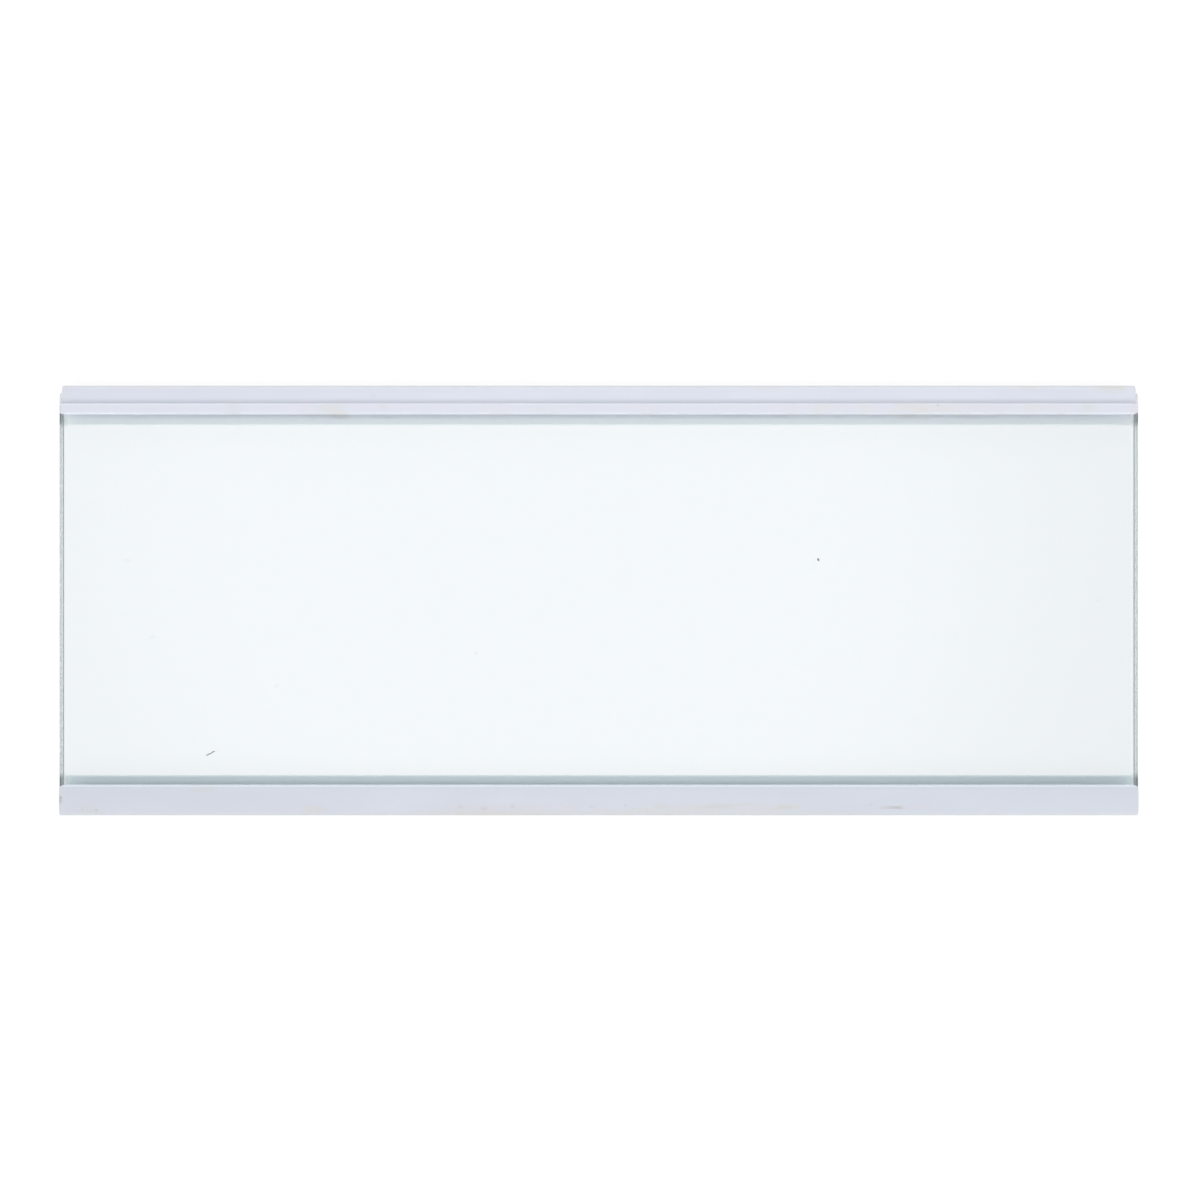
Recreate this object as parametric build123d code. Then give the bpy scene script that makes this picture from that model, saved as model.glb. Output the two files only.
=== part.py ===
from build123d import *
from math import dist
import os

# Refrigerator shelf: a sheet of glass with an extruded plastic trim pushed onto its front and rear edges.
# Millimetres. X runs along the trims, +Y points to the rear and +Z is up.
# The origin is at the middle of the footprint, on the surface that the shelf lies on.

# The whole shelf
SHELF_LENGTH = 460.0
SHELF_DEPTH = 183.0

# The glass sheet
GLASS_THICKNESS = 4.0
GLASS_EDGE_FLAT = 2.6
GLASS_CORNER_RADIUS = 3.0

# How both trims hold the glass
JAW_CLEARANCE = 0.1
ROOT_CLEARANCE = 0.3
LOWER_LEG_THICKNESS = 1.8
FACE_RISE = 2.9

# The front trim
FRONT_LOWER_LEG = 16.05
FRONT_UPPER_LEG = 13.0
FRONT_WALL = 2.2
FRONT_NOSE_RADIUS = 1.8
FRONT_CROWN = 0.35
FRONT_END_INSET = 1.8

# The rear trim
REAR_LOWER_LEG = 16.35
REAR_UPPER_LEG = 12.75
REAR_WALL = 1.6
REAR_NOSE_RADIUS = 2.2
REAR_BAND_THICKNESS = 0.9
REAR_BAND_CLIMB = 0.5
RIDGE_WIDTH = 4.5
RIDGE_CROWN = 0.15
REAR_END_INSET = 2.0

# Edges and corners that both extrusions share
FACE_EDGE_RADIUS = 0.4
LEG_EDGE_RADIUS = 0.5
HEEL_RADIUS = 1.0
MOUTH_RADIUS = 0.4
ROOT_RADIUS = 0.5
STEP_RADIUS = 0.3
SAWN_CORNER_RADIUS = 1.5

# The most of a side that the rounding of a corner at one of its ends takes up
ROUNDING_SHARE = 0.49

# Levels and places that follow from the sizes above
GLASS_EDGE_RADIUS = (GLASS_THICKNESS - GLASS_EDGE_FLAT) / 2
GLASS_BOTTOM = LOWER_LEG_THICKNESS + JAW_CLEARANCE
GLASS_TOP = GLASS_BOTTOM + GLASS_THICKNESS
CHANNEL_TOP = GLASS_TOP + JAW_CLEARANCE
TRIM_TOP = GLASS_TOP + FACE_RISE
REAR_BAND_LOW = CHANNEL_TOP + REAR_BAND_THICKNESS
FRONT_FACE = -SHELF_DEPTH / 2
REAR_FACE = SHELF_DEPTH / 2
GLASS_FRONT = FRONT_FACE + FRONT_WALL + ROOT_CLEARANCE
GLASS_REAR = REAR_FACE - REAR_WALL - ROOT_CLEARANCE


def glass_sheet():
    """The sheet, with rounded corners and a flat ground rim that is rounded off to both faces."""
    middle = Pos(0, (GLASS_FRONT + GLASS_REAR) / 2, GLASS_BOTTOM)
    outline = RectangleRounded(SHELF_LENGTH, GLASS_REAR - GLASS_FRONT, GLASS_CORNER_RADIUS)
    blank = extrude(middle * outline, GLASS_THICKNESS)
    faces = blank.faces().sort_by(Axis.Z)
    return fillet(faces[0].edges() + faces[-1].edges(), GLASS_EDGE_RADIUS)


def trim_section(corners, crown):
    """A closed section with its corners given as (inward, up, radius).

    The top face, from the last corner back to the first, bulges up by the crown.
    A radius is limited by the shorter of the two sides that meet at its corner.
    """
    points = [(inward, up) for inward, up, _ in corners]
    top_middle = ((points[0][0] + points[-1][0]) / 2, points[0][1] + crown)
    top_face = ThreePointArc(points[-1], top_middle, points[0])
    section = make_face(Polyline(*points).edges() + [top_face])
    sides = [dist(points[number - 1], point) for number, point in enumerate(points)]
    for point, (_, _, radius), before, after in zip(points, corners, sides, sides[1:] + sides[:1]):
        corner = section.vertices().sort_by_distance(point)[0]
        section = fillet(corner, min(radius, ROUNDING_SHARE * min(before, after)))
    return section


def sawn_corner(end_x, inner_y, side, inward):
    """What comes off an inner corner of an upper leg, in plan, to round it where the bar was sawn."""
    radius = SAWN_CORNER_RADIUS
    centre = Pos(end_x - side * radius, inner_y - inward * radius, GLASS_TOP)
    square = Pos(side * radius / 2, inward * radius / 2) * Rectangle(radius, radius)
    return extrude(centre * (square - Circle(radius)), FACE_RISE)


def sawn_trim(section, outer_y, upper_leg, end_inset):
    """A bar of the section along X, with the inner corners of its upper leg rounded at both sawn ends."""
    inward = -1 if outer_y > 0 else 1
    plane = Plane(origin=(0, outer_y, 0), x_dir=(0, inward, 0), z_dir=(inward, 0, 0))
    half_length = SHELF_LENGTH / 2 - end_inset
    bar = extrude(plane * section, half_length, both=True)
    inner_y = outer_y + inward * upper_leg
    for side in (-1, 1):
        bar -= sawn_corner(side * half_length, inner_y, side, inward)
    return bar


def front_trim():
    """A channel with a broad, slightly crowned top and a rounded nose."""
    shoulder = TRIM_TOP - FRONT_CROWN
    corners = [
        (0, shoulder, FRONT_NOSE_RADIUS),
        (0, 0, HEEL_RADIUS),
        (FRONT_LOWER_LEG, 0, LEG_EDGE_RADIUS),
        (FRONT_LOWER_LEG, LOWER_LEG_THICKNESS, MOUTH_RADIUS),
        (FRONT_WALL, LOWER_LEG_THICKNESS, ROOT_RADIUS),
        (FRONT_WALL, CHANNEL_TOP, ROOT_RADIUS),
        (FRONT_UPPER_LEG, CHANNEL_TOP, MOUTH_RADIUS),
        (FRONT_UPPER_LEG, shoulder, FACE_EDGE_RADIUS),
    ]
    return sawn_trim(trim_section(corners, FRONT_CROWN), FRONT_FACE, FRONT_UPPER_LEG, FRONT_END_INSET)


def rear_trim():
    """A channel with a low outer band that climbs to a ridge along the inner edge of its upper leg."""
    ridge_start = REAR_UPPER_LEG - RIDGE_WIDTH
    shoulder = TRIM_TOP - RIDGE_CROWN
    corners = [
        (ridge_start, shoulder, FACE_EDGE_RADIUS),
        (ridge_start, REAR_BAND_LOW + REAR_BAND_CLIMB, STEP_RADIUS),
        (0, REAR_BAND_LOW, REAR_NOSE_RADIUS),
        (0, 0, HEEL_RADIUS),
        (REAR_LOWER_LEG, 0, LEG_EDGE_RADIUS),
        (REAR_LOWER_LEG, LOWER_LEG_THICKNESS, MOUTH_RADIUS),
        (REAR_WALL, LOWER_LEG_THICKNESS, ROOT_RADIUS),
        (REAR_WALL, CHANNEL_TOP, ROOT_RADIUS),
        (REAR_UPPER_LEG, CHANNEL_TOP, MOUTH_RADIUS),
        (REAR_UPPER_LEG, shoulder, FACE_EDGE_RADIUS),
    ]
    return sawn_trim(trim_section(corners, RIDGE_CROWN), REAR_FACE, REAR_UPPER_LEG, REAR_END_INSET)


os.makedirs("parts", exist_ok=True)
export_step(glass_sheet(), "parts/glass_sheet.step")
export_step(front_trim(), "parts/front_trim.step")
export_step(rear_trim(), "parts/rear_trim.step")
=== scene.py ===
import bpy
import bmesh
import math
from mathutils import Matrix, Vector, noise


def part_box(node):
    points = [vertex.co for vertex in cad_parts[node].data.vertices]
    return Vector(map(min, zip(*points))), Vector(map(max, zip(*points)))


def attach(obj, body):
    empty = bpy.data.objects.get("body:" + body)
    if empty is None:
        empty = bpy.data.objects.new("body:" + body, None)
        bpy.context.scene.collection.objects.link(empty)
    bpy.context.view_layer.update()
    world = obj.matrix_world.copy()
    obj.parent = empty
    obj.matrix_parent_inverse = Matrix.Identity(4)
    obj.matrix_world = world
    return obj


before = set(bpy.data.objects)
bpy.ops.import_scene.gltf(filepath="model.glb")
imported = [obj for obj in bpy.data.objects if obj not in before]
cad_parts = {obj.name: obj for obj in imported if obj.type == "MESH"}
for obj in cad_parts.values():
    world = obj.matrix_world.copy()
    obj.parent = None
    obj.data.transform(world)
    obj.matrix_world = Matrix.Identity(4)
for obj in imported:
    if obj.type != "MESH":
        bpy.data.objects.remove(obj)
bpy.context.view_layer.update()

MM = 0.001
WHITE = (1.0, 1.0, 1.0, 1.0)

# Where the pieces are, read from the frame
GLASS_LOW, GLASS_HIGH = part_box("glass_sheet")
FRONT_LOW, FRONT_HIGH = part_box("front_trim")
REAR_LOW, REAR_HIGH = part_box("rear_trim")
GLASS_MIDDLE = (GLASS_LOW.z + GLASS_HIGH.z) / 2

# Sizes of the pieces that their boxes don't give
GLASS_CORNER_RADIUS = 3.0 * MM
FRONT_UPPER_LEG = 13.0 * MM
REAR_UPPER_LEG = 12.75 * MM
RIDGE_WIDTH = 4.5 * MM
RIDGE_START = REAR_UPPER_LEG - RIDGE_WIDTH

# The camera looks straight down on the shelf
CAMERA_HEIGHT = 370 * MM
CAMERA_X = 0.52 * MM
CAMERA_Y = -0.05 * MM
VIEW_WIDTH = 514.0 * MM
SENSOR_WIDTH = 36.0

# The white tent that lights the shelf: a dome, a strip along its front, one along its rear, a soft top
# and a pale foot all round, as levels and as parts of a direction of length 1
DOME_LEVEL = 0.18
FRONT_STRIP = {"level": 2.2, "place": -0.60, "half_width": 0.36}
REAR_STRIP = {"level": 1.65, "place": 0.80, "half_width": 0.44}
STRIPS_START = 0.1
STRIPS_FULL = 0.5
FOOT_LEVEL = 0.6
FOOT_TOP = 0.35
FOOT_FULL = 0.05
TOP_GLOW = {"level": 0.9, "place": (-0.06, 0.06, 0.0), "core": 0.3, "reach": 0.68}

# The white backdrop that is seen in place of the tent
BACKDROP_LEVEL = 1.0

# The floor: how much of its white is lit and how much is its own, and what it sends back to the shelf
FLOOR_SIDE = 8.0
FLOOR_GAP = 0.02 * MM
FLOOR_LIT = 0.20
FLOOR_GLOW = 0.83
FLOOR_BOUNCE = 0.8

# The glass, and what it leaves of the light that goes through it to the floor and the legs
GLASS_IOR = 1.52
GLASS_TINT = (0.875, 0.913, 0.937, 1.0)
GLASS_SHADE = (0.995, 0.998, 0.998, 1.0)

# Its ground rim, with a painted shade where it rounds off to the lower face, as far inside the outline as
# given
RIM_REACH = 0.75 * MM
RIM_TINT = (0.775, 0.825, 0.822, 1.0)
RIM_ROUGHNESS = 0.95
# Painted shade at the rim's lower arris
RIM_PAINTED_SHADE = (0.28, 0.34, 0.335, 1.0)
RIM_LINE_START = 0.15 * MM
RIM_LINE_FULL = 0.45 * MM

# The rim has painted shade beside the trims' lower legs and is pale further under the trims: how far past a
# leg's end, towards the trim
RIM_SHADE_BY_LEGS = (0.225, 0.28, 0.283, 1.0)
BY_LEGS_START = -2.0 * MM
BY_LEGS_FULL = 1.6 * MM
RIM_UNDER_TRIMS = (0.99, 0.995, 0.995, 1.0)
UNDER_TRIMS_START = 4.0 * MM
UNDER_TRIMS_FULL = 5.2 * MM

# Painted shade under the glass beside the legs, as far from the end of the sheet as given
LEG_SHADE_ON_GLASS = (0.42, 0.48, 0.50, 1.0)
LEG_SHADE_START = 2.6 * MM
LEG_SHADE_FULL = 1.6 * MM

# Faint specks on the glass, in mm
GLASS_SPECKS = [(-201.5, 16.8), (-52.6, -22.7), (-137.7, -36.8), (-190.9, -15.9), (213.2, -0.2)]
SPECK_REACH = 1.1
SPECK_RAGGED = 0.3
SPECK_GRAIN = 2500.0
SPECK_DIRT = (0.83, 0.865, 0.875, 1.0)

# The trims' plastic: each bar's white, the rear one painted lighter for the stronger light on it, and that of
# its leg under the glass, painted lighter and greener for the light that comes through the glass
FRONT_PLASTIC = (0.684, 0.722, 0.804)
# Painted lighter than the front bar's white, standing in for the stronger light on the rear bar
REAR_PLASTIC = (0.752, 0.785, 0.880)
FRONT_LEG_PAINTED_LIGHTER = (0.82, 0.92, 0.935, 1.0)
REAR_LEG_PAINTED_LIGHTER = (0.905, 0.955, 0.965, 1.0)
LEG_WALL = 2.6 * MM
PLASTIC_IOR = 1.5
PLASTIC_ROUGHNESS = 0.34
RELIEF_STRENGTH = 0.25
RELIEF_DEPTH = 0.05 * MM

# The skin of an extruded bar: how much the bar's length is shrunk for each noise, which draws it out, then
# its scale and detail
SKIN_NOISES = {
    "Lines": (0.012, 1500.0, 3.0),
    "Tone": (0.35, 60.0, 3.0),
    "Smear": (0.14, 900.0, 4.0),
}
SKIN_NOISE_ROUGHNESS = 0.6

# The plastic's slow change of tone: the darker one, the values it comes in between, and the rise per metre of
# a painted shade that darkens it towards the left
DARKER_TONE = (0.953, 0.947, 0.955)
DARKER_START = 0.2
DARKER_FULL = 0.8
SHADE_TO_THE_LEFT = 0.8

# The sawn ends: how squarely they face along the bar, how much of their grey shows, and the saw's marks
SAWN_START = 0.55
SAWN_FULL = 0.85
SAWN_GREY = (0.66, 0.68, 0.72, 1.0)
SAWN_SHARE = 0.8
SAWN_DULLNESS = 0.3
SAW_MARKS = {"shrink": 0.22, "scale": 2600.0, "detail": 4.0, "roughness": 0.7}

# Lines along each trim: how far behind its outer face, half width, and what they do to the plastic's colour.
# The shine lines are painted highlights on edges, the step line is painted shade beside the ridge, and the
# die lines are marks of the die
LINES_ABOVE_GLASS = 1.0 * MM
# Painted highlights: on the inner top edge of each trim, and on the ridge's outer top edge
PAINTED_EDGE_HIGHLIGHT = (1.24, 1.25, 1.22)
PAINTED_RIDGE_HIGHLIGHT = (1.07, 1.07, 1.06)
DIE_LINE = (0.975, 0.962, 0.972)
# Painted shade on the band beside the ridge's step, where the ridge shadows it
PAINTED_STEP_SHADE = (0.89, 0.89, 0.895)
FRONT_LINES = [
    (FRONT_UPPER_LEG, 0.8 * MM, PAINTED_EDGE_HIGHLIGHT),
    (FRONT_UPPER_LEG - 1.4 * MM, 0.6 * MM, DIE_LINE),
]
REAR_LINES = [
    (REAR_UPPER_LEG, 0.8 * MM, PAINTED_EDGE_HIGHLIGHT),
    (RIDGE_START - 1.2 * MM, 1.6 * MM, PAINTED_STEP_SHADE),
    (RIDGE_START + 0.7 * MM, 0.7 * MM, PAINTED_RIDGE_HIGHLIGHT),
    (RIDGE_START + 1.7 * MM, 0.5 * MM, DIE_LINE),
]

# A grimy line along the outer edge of each trim: full as far behind the face as start, and gone at end. On
# the rear trim it is yellowed and also painted lighter, standing in for light on the rounded edge
FRONT_EDGE_GRIME = {"tone": (0.99, 0.955, 0.89), "start": 0.6 * MM, "end": 2.4 * MM}
REAR_EDGE_GRIME_AND_LIGHT = {"tone": (1.02, 1.005, 0.94), "start": 0.8 * MM, "end": 3.0 * MM}
SMEAR_START = 0.25
SMEAR_FULL = 0.75

# What each kind of dirt does to the red, green and blue of the plastic
RUBBED = (1.012, 1.0, 0.985)
YELLOWED = (1.01, 0.97, 0.85)
TAN_DIRT = (0.99, 0.935, 0.84)
OLIVE_DIRT = (0.93, 0.925, 0.81)
PINK_DIRT = (1.01, 0.94, 0.92)
ORANGE_DIRT = (1.00, 0.90, 0.74)
BROWN_DIRT = (0.60, 0.51, 0.38)
GREY_DIRT = (0.58, 0.57, 0.50)
DIRT_DULLNESS = 0.3

# A patch of dirt is full up to its core and gone at its edge, in half sizes. Its grain, as it is above or
# below a middle value, pushes that edge in or out. It reaches far above and below its piece.
PATCH_CORE = 0.2
PATCH_EDGE = 1.0
PATCH_HALF_HEIGHT = 1.0
GRAIN_MIDDLE = 0.5
GRAIN_PUSH = 3.2

# Streaks in the dirt follow the die lines: the lines' values that count, and how strong the dirt is there
STREAKS_START = 0.3
STREAKS_END = 0.7
WEAK_STREAK = 0.35
STRONG_STREAK = 1.25

# Dirt on the front trim: colour, strength, middle and half size in mm, and how ragged its edge is
FRONT_DIRT = [
    (ORANGE_DIRT, 0.60, (-43, -90.6), (42, 3.2), 0.6),
    (PINK_DIRT, 0.90, (-40, -88.0), (38, 2.8), 0.7),
    (TAN_DIRT, 0.60, (16, -90.0), (52, 3.2), 0.7),
    (YELLOWED, 0.45, (66, -89.8), (62, 2.6), 0.7),
    (BROWN_DIRT, 0.20, (-58.5, -87.6), (2.0, 1.3), 0.4),
    (BROWN_DIRT, 0.24, (-48.7, -88.2), (2.4, 1.2), 0.4),
    (BROWN_DIRT, 0.24, (-36.6, -87.3), (1.8, 1.4), 0.3),
    (BROWN_DIRT, 0.20, (-2.9, -87.4), (2.6, 1.0), 0.4),
    (GREY_DIRT, 0.20, (11.2, -87.1), (1.5, 1.0), 0.3),
    (TAN_DIRT, 0.75, (56, -87.3), (42, 1.9), 0.8),
    (OLIVE_DIRT, 0.60, (27.3, -87.3), (6.0, 1.6), 0.5),
    (BROWN_DIRT, 0.13, (51.4, -87.3), (9.0, 1.3), 0.8),
    (ORANGE_DIRT, 0.45, (79.0, -87.6), (8.0, 1.5), 0.8),
    (BROWN_DIRT, 0.10, (79.0, -87.7), (6.0, 1.0), 0.6),
    (GREY_DIRT, 0.22, (114.9, -86.8), (1.0, 0.9), 0.2),
    (BROWN_DIRT, 0.55, (124.8, -87.7), (7.5, 1.1), 0.5),
    (BROWN_DIRT, 0.55, (126.4, -87.7), (3.2, 0.9), 0.3),
    (PINK_DIRT, 0.60, (134, -87.4), (8.0, 1.6), 0.5),
    (YELLOWED, 0.50, (-226.9, -84.0), (1.8, 9.0), 0.3),
    (GREY_DIRT, 0.65, (-227.5, -84.5), (0.9, 2.6), 0.4),
    (PINK_DIRT, 0.60, (-219.0, -88.2), (7.0, 3.0), 0.6),
    (OLIVE_DIRT, 0.55, (-214.5, -88.9), (6.5, 2.6), 0.6),
    (GREY_DIRT, 0.35, (-212.4, -88.9), (1.1, 1.0), 0.3),
    (GREY_DIRT, 0.22, (-218.2, -88.3), (1.0, 0.9), 0.3),
    (OLIVE_DIRT, 0.55, (-166, -80.2), (9.0, 1.4), 0.6),
    (OLIVE_DIRT, 0.30, (-110.5, -80.6), (4.0, 1.0), 0.5),
    (ORANGE_DIRT, 0.45, (-120.4, -88.6), (6.0, 3.2), 0.6),
    (PINK_DIRT, 0.40, (-128, -89.0), (12, 2.0), 0.6),
]

# Dirt on the rear trim, in the same form
REAR_DIRT = [
    (RUBBED, 1.00, (0, 80.6), (700, 3.6), 0.2),
    (OLIVE_DIRT, 0.45, (-154.6, 81.0), (5.5, 4.5), 0.6),
    (PINK_DIRT, 0.45, (-123.7, 81.0), (5.0, 4.5), 0.6),
    (OLIVE_DIRT, 0.55, (-113.5, 81.2), (9.5, 4.0), 0.6),
    (ORANGE_DIRT, 0.55, (-110.5, 79.6), (6.0, 1.4), 0.5),
    (OLIVE_DIRT, 0.35, (-91.0, 81.0), (3.5, 4.0), 0.6),
    (GREY_DIRT, 0.10, (-95.7, 86.5), (2.0, 2.0), 0.3),
    (PINK_DIRT, 0.30, (-42.7, 81.0), (9.0, 4.0), 0.6),
    (OLIVE_DIRT, 0.20, (-22, 81.0), (8.0, 4.0), 0.6),
    (PINK_DIRT, 0.30, (20, 81.0), (9.0, 4.0), 0.6),
    (PINK_DIRT, 0.40, (80, 81.0), (8.0, 4.0), 0.6),
    (YELLOWED, 0.45, (94, 81.0), (7.0, 4.0), 0.6),
    (PINK_DIRT, 0.35, (104, 81.0), (5.0, 4.0), 0.6),
    (YELLOWED, 0.45, (113, 81.0), (5.0, 4.0), 0.6),
    (YELLOWED, 0.70, (134, 81.2), (19, 4.5), 0.8),
    (ORANGE_DIRT, 0.30, (136, 80.2), (14, 1.8), 0.9),
    (PINK_DIRT, 0.35, (129, 82.4), (10, 1.6), 0.6),
    (YELLOWED, 0.40, (155, 81.0), (10, 4.0), 0.6),
    (PINK_DIRT, 0.50, (166, 81.0), (12, 4.0), 0.6),
    (YELLOWED, 0.45, (184, 81.0), (9.0, 4.0), 0.6),
    (PINK_DIRT, 0.35, (195, 81.0), (6.0, 4.0), 0.6),
    (OLIVE_DIRT, 0.45, (207, 81.0), (6.0, 4.0), 0.5),
    (GREY_DIRT, 0.35, (143.3, 82.4), (1.0, 0.9), 0.2),
    (PINK_DIRT, 0.60, (-190, 90.0), (10, 2.4), 0.5),
    (PINK_DIRT, 0.60, (70.5, 90.0), (10, 2.4), 0.5),
    (ORANGE_DIRT, 0.30, (184, 90.3), (8.0, 1.8), 0.6),
    (OLIVE_DIRT, 0.60, (217, 89.8), (10, 3.0), 0.5),
    (ORANGE_DIRT, 0.45, (219, 90.4), (8.0, 1.8), 0.5),
    (PINK_DIRT, 0.60, (226.6, 81.0), (3.0, 4.0), 0.5),
    (PINK_DIRT, 0.40, (227, 86.5), (1.2, 7.0), 0.4),
    (OLIVE_DIRT, 0.35, (-226.6, 87.0), (2.6, 6.5), 0.5),
    (GREY_DIRT, 0.25, (-227.6, 81.0), (0.8, 2.4), 0.3),
]

# A fibre that lies on the glass, in mm, and its finish
FIBRE_ROUTE = [(-167.0, -66.25), (-166.2, -65.75), (-165.0, -65.3), (-164.3, -64.65), (-163.6, -64.5)]
FIBRE_RADIUS = 0.2
FIBRE_ROUNDING = 3
FIBRE_CURVE_ORDER = 3
FIBRE_DARK = (0.12, 0.125, 0.13, 1.0)
FIBRE_PALE = (0.23, 0.235, 0.24, 1.0)
FIBRE_ROUGHNESS = 0.8

# A crumb that lies on the glass: its place and half sizes in mm, its turn in radians, and its finish.
# The flat that it lies on is a share of its half height below its middle.
CRUMB_PLACE = (93.5, 17.1)
CRUMB_SIZE = (0.40, 0.60, 0.30)
CRUMB_TURN = 0.35
CRUMB_FINENESS = 4
CRUMB_LUMPS = 0.3
CRUMB_LUMP_SCALE = 1.7
CRUMB_FLAT = 0.6
CRUMB_DARK = (0.13, 0.135, 0.14, 1.0)
CRUMB_PALE = (0.27, 0.275, 0.28, 1.0)
CRUMB_ROUGHNESS = 0.7

# The grain in the colour of both
LINT_GRAIN = 3000.0

# The sockets of a Mix node by number, because those for numbers and those for colours have the same names
MIX_SHARE = 0
MIX_NUMBERS = (2, 3)
MIXED_NUMBER = 0
MIX_COLOURS = (6, 7)
MIXED_COLOUR = 2


class Wiring:
    """Adds nodes to one node tree. A socket given as a value is linked, and anything else is set."""

    def __init__(self, tree):
        self.tree = tree

    def feed(self, socket, value):
        """Links or sets one input."""
        if isinstance(value, bpy.types.NodeSocket):
            self.tree.links.new(value, socket)
        else:
            socket.default_value = value

    def node(self, kind, values=None, **settings):
        """A new node, with its settings made and its inputs fed."""
        made = self.tree.nodes.new(kind)
        for name, setting in settings.items():
            setattr(made, name, setting)
        for socket, value in (values or {}).items():
            self.feed(made.inputs[socket], value)
        return made

    def group(self, tree, values=None):
        """The outputs of a node group that is placed here with its own values."""
        return self.node("ShaderNodeGroup", values, node_tree=tree).outputs

    def math(self, operation, first, second=0.0):
        """A number worked out from one or two others."""
        return self.node("ShaderNodeMath", {0: first, 1: second}, operation=operation).outputs[0]

    def vector_math(self, operation, first, second=(0, 0, 0), output="Vector"):
        """A vector worked out from one or two others, or a number where the output is Value."""
        values = {0: first, 1: second}
        return self.node("ShaderNodeVectorMath", values, operation=operation).outputs[output]

    def fade(self, value, start, end):
        """0 at start and 1 at end, with a soft run between."""
        values = {"Value": value, "From Min": start, "From Max": end}
        return self.node("ShaderNodeMapRange", values, interpolation_type="SMOOTHSTEP").outputs[0]

    def between(self, share, first, second):
        """A number between two."""
        values = {MIX_SHARE: share, MIX_NUMBERS[0]: first, MIX_NUMBERS[1]: second}
        return self.node("ShaderNodeMix", values).outputs[MIXED_NUMBER]

    def mix(self, share, first, second):
        """A colour between two."""
        values = {MIX_SHARE: share, MIX_COLOURS[0]: first, MIX_COLOURS[1]: second}
        return self.node("ShaderNodeMix", values, data_type="RGBA").outputs[MIXED_COLOUR]

    def blend(self, share, first, second):
        """A shader between two."""
        return self.node("ShaderNodeMixShader", {0: share, 1: first, 2: second}).outputs[0]

    def position(self):
        """Where a point of the surface is, in the shelf's frame."""
        return self.node("ShaderNodeTexCoord").outputs["Object"]

    def parts(self, vector):
        """The X, Y and Z of a vector."""
        return self.node("ShaderNodeSeparateXYZ", {0: vector}).outputs

    def noise(self, place, scale, detail=2.0, roughness=0.5):
        """A soft noise about one half."""
        values = {"Vector": place, "Scale": scale, "Detail": detail, "Roughness": roughness}
        return self.node("ShaderNodeTexNoise", values).outputs[0]


def new_group(name, inputs, outputs):
    """A shader node group with named sockets: its wiring, what it is given and the sockets of its result."""
    tree = bpy.data.node_groups.new(name, "ShaderNodeTree")
    for label, kind in inputs.items():
        tree.interface.new_socket(label, in_out="INPUT", socket_type=kind)
    for label in outputs:
        tree.interface.new_socket(label, in_out="OUTPUT", socket_type="NodeSocketFloat")
    wiring = Wiring(tree)
    return wiring, wiring.node("NodeGroupInput").outputs, wiring.node("NodeGroupOutput").inputs


def dirt_patch_group():
    """The mask of one patch of dirt: full in its middle and thinning out, with a ragged edge."""
    inputs = {
        "Middle": "NodeSocketVector",
        "Reach": "NodeSocketVector",
        "Ragged": "NodeSocketFloat",
        "Grain": "NodeSocketFloat",
    }
    wiring, given, result = new_group("Dirt patch", inputs, ["Mask"])
    from_middle = wiring.vector_math("SUBTRACT", wiring.position(), given["Middle"])
    in_reaches = wiring.vector_math("DIVIDE", from_middle, given["Reach"])
    away = wiring.vector_math("LENGTH", in_reaches, output="Value")
    push = wiring.math("MULTIPLY", wiring.math("SUBTRACT", given["Grain"], GRAIN_MIDDLE), GRAIN_PUSH)
    pushed = wiring.math("ADD", away, wiring.math("MULTIPLY", push, given["Ragged"]))
    wiring.feed(result["Mask"], wiring.fade(pushed, PATCH_EDGE, PATCH_CORE))
    return wiring.tree


def extruded_skin_group():
    """The skin of an extruded bar: fine lines along it from the die, a slow tone and the way dirt smears."""
    wiring, _, result = new_group("Extruded skin", {}, list(SKIN_NOISES))
    place = wiring.position()
    for label, (shrink, scale, detail) in SKIN_NOISES.items():
        shrunk = wiring.vector_math("MULTIPLY", place, (shrink, 1.0, 1.0))
        wiring.feed(result[label], wiring.noise(shrunk, scale, detail, SKIN_NOISE_ROUGHNESS))
    return wiring.tree


def sawn_end_group():
    """Where a bar was sawn off: a mask of its end faces, and the marks of the saw across them."""
    wiring, _, result = new_group("Sawn end", {}, ["Mask", "Marks"])
    normal = wiring.node("ShaderNodeNewGeometry").outputs["Normal"]
    lengthwise = wiring.math("ABSOLUTE", wiring.parts(normal)["X"])
    wiring.feed(result["Mask"], wiring.fade(lengthwise, SAWN_START, SAWN_FULL))
    shrunk = wiring.vector_math("MULTIPLY", wiring.position(), (1.0, SAW_MARKS["shrink"], 1.0))
    marks = wiring.noise(shrunk, SAW_MARKS["scale"], SAW_MARKS["detail"], SAW_MARKS["roughness"])
    wiring.feed(result["Marks"], marks)
    return wiring.tree


def fine_grain_group():
    """A fine grain that speckles a colour or frays the edge of a spot."""
    wiring, given, result = new_group("Fine grain", {"Scale": "NodeSocketFloat"}, ["Grain"])
    wiring.feed(result["Grain"], wiring.noise(wiring.position(), given["Scale"]))
    return wiring.tree


DIRT_PATCH = dirt_patch_group()
EXTRUDED_SKIN = extruded_skin_group()
SAWN_END = sawn_end_group()
FINE_GRAIN = fine_grain_group()


def new_material(name):
    """An empty node material: the material, its wiring and its surface socket."""
    material = bpy.data.materials.new(name)
    material.use_nodes = True
    material.node_tree.nodes.clear()
    wiring = Wiring(material.node_tree)
    return material, wiring, wiring.node("ShaderNodeOutputMaterial").inputs["Surface"]


def grey(level):
    """A colour with equal parts."""
    return (level, level, level, 1.0)


def toned(plastic, tone):
    """A plastic's colour with each part turned up or down."""
    return tuple(part * share for part, share in zip(plastic, tone)) + (1.0,)


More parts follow.
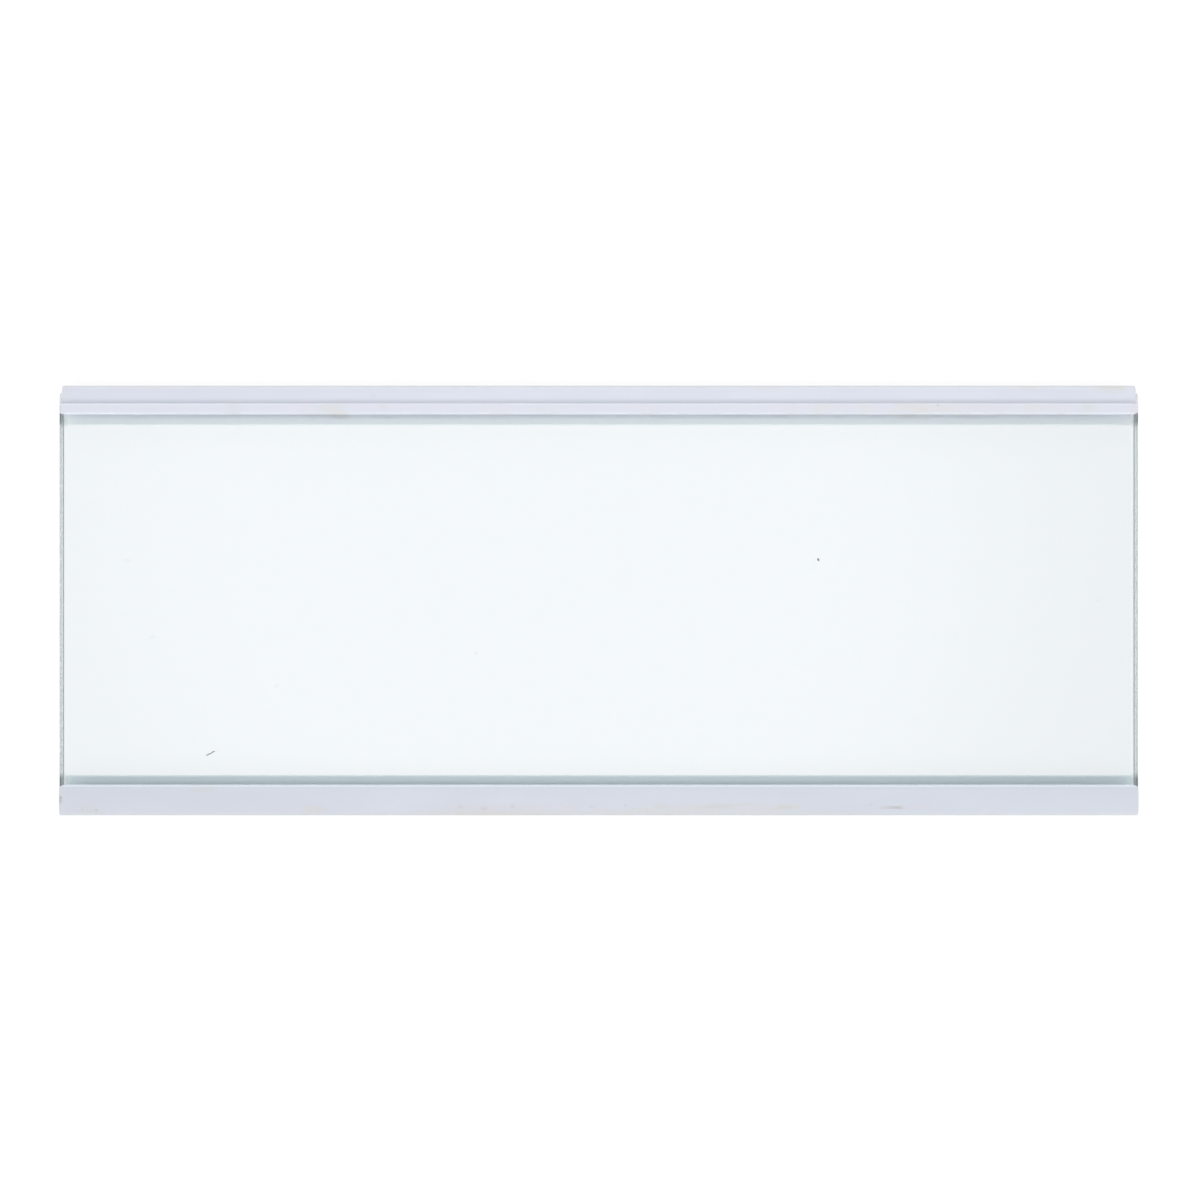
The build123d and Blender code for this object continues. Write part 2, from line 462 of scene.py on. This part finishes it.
def patch_mask(wiring, middle, reach, ragged, grain):
    """The mask of a patch of dirt at a place given in mm; it goes right through the piece's height."""
    values = {
        "Middle": (middle[0] * MM, middle[1] * MM, GLASS_HIGH.z),
        "Reach": (reach[0] * MM, reach[1] * MM, PATCH_HALF_HEIGHT),
        "Ragged": ragged,
        "Grain": grain,
    }
    return wiring.group(DIRT_PATCH, values)["Mask"]


def bar_colour(wiring, plastic, along, slow_tone):
    """The plastic's own colour, a little darker in places, with a painted shade that darkens it towards the
    left.
    """
    # Painted shade: the tone is pushed darker towards the left
    tone = wiring.math("SUBTRACT", slow_tone, wiring.math("MULTIPLY", along, SHADE_TO_THE_LEFT))
    darker = wiring.fade(tone, DARKER_START, DARKER_FULL)
    return wiring.mix(darker, (*plastic, 1.0), toned(plastic, DARKER_TONE))


def covered_leg_mask(wiring, height, behind_face):
    """A mask of the lower leg, which the glass covers."""
    below_glass = wiring.math("LESS_THAN", height, GLASS_LOW.z)
    return wiring.math("MULTIPLY", below_glass, wiring.math("GREATER_THAN", behind_face, LEG_WALL))


def lined_and_lit(wiring, colour, plastic, lines, height, behind_face):
    """The colour with the lines that run along the top of a bar: die lines, painted highlights and painted
    shade.
    """
    above_glass = wiring.math("GREATER_THAN", height, GLASS_HIGH.z + LINES_ABOVE_GLASS)
    for line_place, half_width, line_tone in lines:
        off_line = wiring.math("ABSOLUTE", wiring.math("SUBTRACT", behind_face, line_place))
        line = wiring.math("MULTIPLY", above_glass, wiring.fade(off_line, half_width, 0.0))
        colour = wiring.mix(line, colour, toned(plastic, line_tone))
    return colour


def edge_grimed_and_lit(wiring, colour, plastic, edge_grime_and_light, behind_face, smear):
    """The colour with smeared grime along the outer edge of a bar, which on the rear bar is also a painted
    light.
    """
    by_edge = wiring.fade(behind_face, edge_grime_and_light["end"], edge_grime_and_light["start"])
    tone_mask = wiring.math("MULTIPLY", by_edge, wiring.fade(smear, SMEAR_START, SMEAR_FULL))
    return wiring.mix(tone_mask, colour, toned(plastic, edge_grime_and_light["tone"]))


def dirtied(wiring, colour, dullness, plastic, dirt_patches, skin):
    """The colour and the dullness with patches of dirt, which are streaked along the bar."""
    values = {
        "Value": skin["Lines"],
        "From Min": STREAKS_START,
        "From Max": STREAKS_END,
        "To Min": WEAK_STREAK,
        "To Max": STRONG_STREAK,
    }
    streaks = wiring.node("ShaderNodeMapRange", values).outputs[0]
    for dirt, strength, middle, reach, ragged in dirt_patches:
        patch = patch_mask(wiring, middle, reach, ragged, skin["Smear"])
        mask = wiring.math("MULTIPLY", wiring.math("MULTIPLY", patch, strength), streaks)
        colour = wiring.mix(mask, colour, toned(plastic, dirt))
        dullness = wiring.math("MAXIMUM", dullness, wiring.math("MULTIPLY", mask, DIRT_DULLNESS))
    return colour, dullness


def trim_plastic(name, plastic, leg_painted_lighter, outer_face, lines, edge_grime_and_light, dirt_patches):
    """Satin extruded plastic with die lines, sawn ends, a leg under the glass painted lighter for the light
    through it, painted highlights and shade along its top, rubbed edges and dirt.
    """
    material, wiring, surface = new_material(name)
    skin = wiring.group(EXTRUDED_SKIN)
    sawn = wiring.group(SAWN_END)
    place = wiring.parts(wiring.position())
    behind_face = wiring.math("ABSOLUTE", wiring.math("SUBTRACT", place["Y"], outer_face))
    colour = bar_colour(wiring, plastic, place["X"], skin["Tone"])
    # The leg under the glass is painted lighter and greener, standing in for the light that comes through the
    # glass
    colour = wiring.mix(covered_leg_mask(wiring, place["Z"], behind_face), colour, leg_painted_lighter)
    colour = wiring.mix(wiring.math("MULTIPLY", sawn["Mask"], SAWN_SHARE), colour, SAWN_GREY)
    colour = lined_and_lit(wiring, colour, plastic, lines, place["Z"], behind_face)
    colour = edge_grimed_and_lit(wiring, colour, plastic, edge_grime_and_light, behind_face, skin["Smear"])
    dullness = wiring.math("MULTIPLY", sawn["Mask"], SAWN_DULLNESS)
    colour, dullness = dirtied(wiring, colour, dullness, plastic, dirt_patches, skin)
    relief = wiring.between(sawn["Mask"], skin["Lines"], sawn["Marks"])
    bump = {"Strength": RELIEF_STRENGTH, "Distance": RELIEF_DEPTH, "Height": relief}
    values = {
        "Base Color": colour,
        "Roughness": wiring.math("ADD", dullness, PLASTIC_ROUGHNESS),
        "IOR": PLASTIC_IOR,
        "Normal": wiring.node("ShaderNodeBump", bump).outputs[0],
    }
    wiring.feed(surface, wiring.node("ShaderNodeBsdfPrincipled", values).outputs[0])
    return material


def front_plastic():
    """The finish of the front trim."""
    return trim_plastic(
        "Front plastic", FRONT_PLASTIC, FRONT_LEG_PAINTED_LIGHTER, FRONT_LOW.y, FRONT_LINES, FRONT_EDGE_GRIME, FRONT_DIRT)


def rear_plastic():
    """The finish of the rear trim."""
    return trim_plastic(
        "Rear plastic", REAR_PLASTIC, REAR_LEG_PAINTED_LIGHTER, REAR_HIGH.y, REAR_LINES, REAR_EDGE_GRIME_AND_LIGHT, REAR_DIRT)


def inside_outline(wiring, from_end, across):
    """How far a point lies inside the sheet's outline, up to the radius of its rounded corners."""
    from_front = wiring.math("SUBTRACT", across, GLASS_LOW.y)
    from_rear = wiring.math("SUBTRACT", GLASS_HIGH.y, across)
    from_side = wiring.math("MINIMUM", from_front, from_rear)
    into_corner = {
        "X": wiring.math("MAXIMUM", wiring.math("SUBTRACT", GLASS_CORNER_RADIUS, from_end), 0.0),
        "Y": wiring.math("MAXIMUM", wiring.math("SUBTRACT", GLASS_CORNER_RADIUS, from_side), 0.0),
    }
    outwards = wiring.node("ShaderNodeCombineXYZ", into_corner).outputs[0]
    from_centre = wiring.vector_math("LENGTH", outwards, output="Value")
    return wiring.math("SUBTRACT", GLASS_CORNER_RADIUS, from_centre)


def beside_legs(wiring, across):
    """Masks of the glass beside a trim's lower leg, and of what lies further under the trim."""
    past_front_leg = wiring.math("SUBTRACT", FRONT_HIGH.y, across)
    past_rear_leg = wiring.math("SUBTRACT", across, REAR_LOW.y)
    past_leg_end = wiring.math("MAXIMUM", past_front_leg, past_rear_leg)
    by_leg = wiring.fade(past_leg_end, BY_LEGS_START, BY_LEGS_FULL)
    return by_leg, wiring.fade(past_leg_end, UNDER_TRIMS_START, UNDER_TRIMS_FULL)


def rim_colour(wiring, inside, lower_half, by_leg, under_trim):
    """The ground rim: with painted shade at its lower arris and by the legs, and pale under the trims."""
    line = wiring.math("MULTIPLY", wiring.fade(inside, RIM_LINE_START, RIM_LINE_FULL), lower_half)
    colour = wiring.mix(line, RIM_TINT, RIM_PAINTED_SHADE)
    colour = wiring.mix(by_leg, colour, RIM_SHADE_BY_LEGS)
    return wiring.mix(under_trim, colour, RIM_UNDER_TRIMS)


def face_colour(wiring, from_end, lower_half, by_leg, under_trim):
    """The polished faces: clear, with painted shade on the lower one by the legs at both ends."""
    tone_mask = wiring.math("MULTIPLY", by_leg, wiring.fade(from_end, LEG_SHADE_START, LEG_SHADE_FULL))
    tone_mask = wiring.math("MULTIPLY", tone_mask, lower_half)
    tone_mask = wiring.math("MULTIPLY", tone_mask, wiring.math("SUBTRACT", 1.0, under_trim))
    return wiring.mix(tone_mask, GLASS_TINT, LEG_SHADE_ON_GLASS)


def specked(wiring, colour):
    """The colour with the faint specks on the glass."""
    grain = wiring.group(FINE_GRAIN, {"Scale": SPECK_GRAIN})["Grain"]
    for middle in GLASS_SPECKS:
        mask = patch_mask(wiring, middle, (SPECK_REACH, SPECK_REACH), SPECK_RAGGED, grain)
        colour = wiring.mix(mask, colour, SPECK_DIRT)
    return colour


def clear_glass():
    """Float glass with polished faces and matt ground edges, which lets light through to what is under it."""
    material, wiring, surface = new_material("Clear glass")
    place = wiring.parts(wiring.position())
    from_end = wiring.math("SUBTRACT", GLASS_HIGH.x, wiring.math("ABSOLUTE", place["X"]))
    inside = inside_outline(wiring, from_end, place["Y"])
    rim = wiring.math("LESS_THAN", inside, RIM_REACH)
    lower_half = wiring.math("LESS_THAN", place["Z"], GLASS_MIDDLE)
    by_leg, under_trim = beside_legs(wiring, place["Y"])
    faces = face_colour(wiring, from_end, lower_half, by_leg, under_trim)
    colour = wiring.mix(rim, faces, rim_colour(wiring, inside, lower_half, by_leg, under_trim))
    values = {
        "Base Color": specked(wiring, colour),
        "Roughness": wiring.math("MULTIPLY", rim, RIM_ROUGHNESS),
        "IOR": GLASS_IOR,
        "Transmission Weight": 1.0,
    }
    glass = wiring.node("ShaderNodeBsdfPrincipled", values).outputs[0]
    clear = wiring.node("ShaderNodeBsdfTransparent", {"Color": GLASS_SHADE}).outputs[0]
    path = wiring.node("ShaderNodeLightPath").outputs
    for ray in ("Is Shadow Ray", "Is Diffuse Ray"):
        glass = wiring.blend(path[ray], glass, clear)
    wiring.feed(surface, glass)
    return material


def speckled(name, dark, pale, roughness):
    """A dull speckled finish for the small things that lie on the glass."""
    material, wiring, surface = new_material(name)
    grain = wiring.group(FINE_GRAIN, {"Scale": LINT_GRAIN})["Grain"]
    values = {"Base Color": wiring.mix(grain, dark, pale), "Roughness": roughness}
    wiring.feed(surface, wiring.node("ShaderNodeBsdfPrincipled", values).outputs[0])
    return material


def dress_nodes():
    """Gives the pieces from the frame their finishes."""
    finishes = {
        "glass_sheet": (clear_glass(), "clear_glass"),
        "front_trim": (front_plastic(), "white_trim"),
        "rear_trim": (rear_plastic(), "white_trim"),
    }
    for name, (material, slot) in finishes.items():
        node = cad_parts[name]
        node.material_slots[0].material = material


def new_object(name, mesh, material):
    """A mesh object in the scene, with its finish."""
    made = bpy.data.objects.new(name, mesh)
    bpy.context.scene.collection.objects.link(made)
    mesh.materials.append(material)
    return made


def lint_fibre():
    """A short fibre that lies on the glass."""
    route = bpy.data.curves.new("lint_fibre", "CURVE")
    route.dimensions = "3D"
    route.bevel_depth = FIBRE_RADIUS * MM
    route.bevel_resolution = FIBRE_ROUNDING
    route.use_fill_caps = True
    spline = route.splines.new("NURBS")
    spline.points.add(len(FIBRE_ROUTE) - 1)
    for point, (x, y) in zip(spline.points, FIBRE_ROUTE):
        point.co = (x * MM, y * MM, GLASS_HIGH.z + FIBRE_RADIUS * MM, 1.0)
    spline.order_u = FIBRE_CURVE_ORDER
    spline.use_endpoint_u = True
    holder = bpy.data.objects.new("lint_fibre_route", route)
    mesh = bpy.data.meshes.new_from_object(holder)
    bpy.data.objects.remove(holder)
    mesh.name = "lint_fibre"
    piece = new_object("lint_fibre", mesh, speckled("Dark lint", FIBRE_DARK, FIBRE_PALE, FIBRE_ROUGHNESS))
    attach(piece, "root")


def crumb():
    """A lumpy crumb that lies on the glass."""
    shape = bmesh.new()
    bmesh.ops.create_icosphere(shape, subdivisions=CRUMB_FINENESS, radius=1.0)
    turn_cos = math.cos(CRUMB_TURN)
    turn_sin = math.sin(CRUMB_TURN)
    flat = CRUMB_FLAT * CRUMB_SIZE[2]
    for point in shape.verts:
        lump = 1.0 + CRUMB_LUMPS * noise.noise(point.co * CRUMB_LUMP_SCALE)
        x, y, z = (part * size * lump for part, size in zip(point.co, CRUMB_SIZE))
        turned_x = CRUMB_PLACE[0] + x * turn_cos - y * turn_sin
        turned_y = CRUMB_PLACE[1] + x * turn_sin + y * turn_cos
        height = GLASS_HIGH.z + (max(z, -flat) + flat) * MM
        point.co = Vector((turned_x * MM, turned_y * MM, height))
    mesh = bpy.data.meshes.new("crumb")
    shape.to_mesh(mesh)
    shape.free()
    mesh.shade_smooth()
    piece = new_object("crumb", mesh, speckled("Dark crumb", CRUMB_DARK, CRUMB_PALE, CRUMB_ROUGHNESS))
    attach(piece, "root")


def in_gloss_or_glass(wiring, path):
    """1 for a ray that shows something in gloss or through glass."""
    return wiring.math("MAXIMUM", path["Is Glossy Ray"], path["Is Transmission Ray"])


def pale_floor():
    """A white floor that still takes the shelf's shadow."""
    material, wiring, surface = new_material("Pale floor")
    lit = wiring.node("ShaderNodeBsdfDiffuse", {"Color": grey(FLOOR_LIT)}).outputs[0]
    glow = wiring.node("ShaderNodeEmission", {"Strength": FLOOR_GLOW}).outputs[0]
    white = wiring.node("ShaderNodeAddShader", {0: lit, 1: glow}).outputs[0]
    bounce = wiring.node("ShaderNodeBsdfDiffuse", {"Color": grey(FLOOR_BOUNCE)}).outputs[0]
    path = wiring.node("ShaderNodeLightPath").outputs
    seen = wiring.math("MAXIMUM", path["Is Camera Ray"], in_gloss_or_glass(wiring, path))
    wiring.feed(surface, wiring.blend(seen, bounce, white))
    half = FLOOR_SIDE / 2
    corners = [(-half, -half), (half, -half), (half, half), (-half, half)]
    mesh = bpy.data.meshes.new("floor")
    mesh.from_pydata([(x, y, -FLOOR_GAP) for x, y in corners], [], [(0, 1, 2, 3)])
    new_object("floor", mesh, material)


def strip(wiring, across, light):
    """A soft strip of light along the tent."""
    off = wiring.math("ABSOLUTE", wiring.math("SUBTRACT", across, light["place"]))
    return wiring.math("MULTIPLY", wiring.fade(off, light["half_width"], 0.0), light["level"])


def tent_level(wiring, way, parts, foot):
    """How bright the tent is in each direction: its front and rear strips, foot, dome and top."""
    front = strip(wiring, parts["Y"], FRONT_STRIP)
    rear = strip(wiring, parts["Y"], REAR_STRIP)
    off_floor = wiring.fade(parts["Z"], STRIPS_START, STRIPS_FULL)
    strips = wiring.math("MULTIPLY", wiring.math("ADD", front, rear), off_floor)
    level = wiring.math("ADD", strips, wiring.math("MULTIPLY", foot, FOOT_LEVEL))
    level = wiring.math("ADD", level, DOME_LEVEL)
    flat_way = wiring.vector_math("MULTIPLY", way, (1, 1, 0))
    off_top = wiring.vector_math("DISTANCE", flat_way, TOP_GLOW["place"], output="Value")
    top = wiring.fade(off_top, TOP_GLOW["reach"], TOP_GLOW["core"])
    return wiring.math("ADD", level, wiring.math("MULTIPLY", top, TOP_GLOW["level"]))


def white_tent():
    """The world: a white tent that lights the shelf, with a plain white backdrop for the camera.

    Gloss and glass show that backdrop too, at the foot of the tent.
    """
    world = bpy.data.worlds.new("White tent")
    bpy.context.scene.world = world
    world.use_nodes = True
    world.node_tree.nodes.clear()
    wiring = Wiring(world.node_tree)
    way = wiring.node("ShaderNodeTexCoord").outputs["Generated"]
    parts = wiring.parts(way)
    foot = wiring.fade(parts["Z"], FOOT_TOP, FOOT_FULL)
    level = tent_level(wiring, way, parts, foot)
    tent = wiring.node("ShaderNodeBackground", {"Color": WHITE, "Strength": level}).outputs[0]
    backdrop = wiring.node("ShaderNodeBackground", {"Color": WHITE, "Strength": BACKDROP_LEVEL}).outputs[0]
    path = wiring.node("ShaderNodeLightPath").outputs
    at_foot = wiring.math("MULTIPLY", in_gloss_or_glass(wiring, path), foot)
    seen = wiring.math("MAXIMUM", path["Is Camera Ray"], at_foot)
    surface = wiring.node("ShaderNodeOutputWorld").inputs["Surface"]
    wiring.feed(surface, wiring.blend(seen, tent, backdrop))


def camera_above():
    """A camera that looks straight down, with the rear trim at the top of the picture."""
    data = bpy.data.cameras.new("camera")
    data.sensor_width = SENSOR_WIDTH
    data.lens = SENSOR_WIDTH * CAMERA_HEIGHT / VIEW_WIDTH
    camera = bpy.data.objects.new("camera", data)
    camera.location = (CAMERA_X, CAMERA_Y, GLASS_MIDDLE + CAMERA_HEIGHT)
    bpy.context.scene.collection.objects.link(camera)
    bpy.context.scene.camera = camera


dress_nodes()
lint_fibre()
crumb()
pale_floor()
white_tent()
camera_above()
bpy.context.scene.view_settings.view_transform = "Standard"
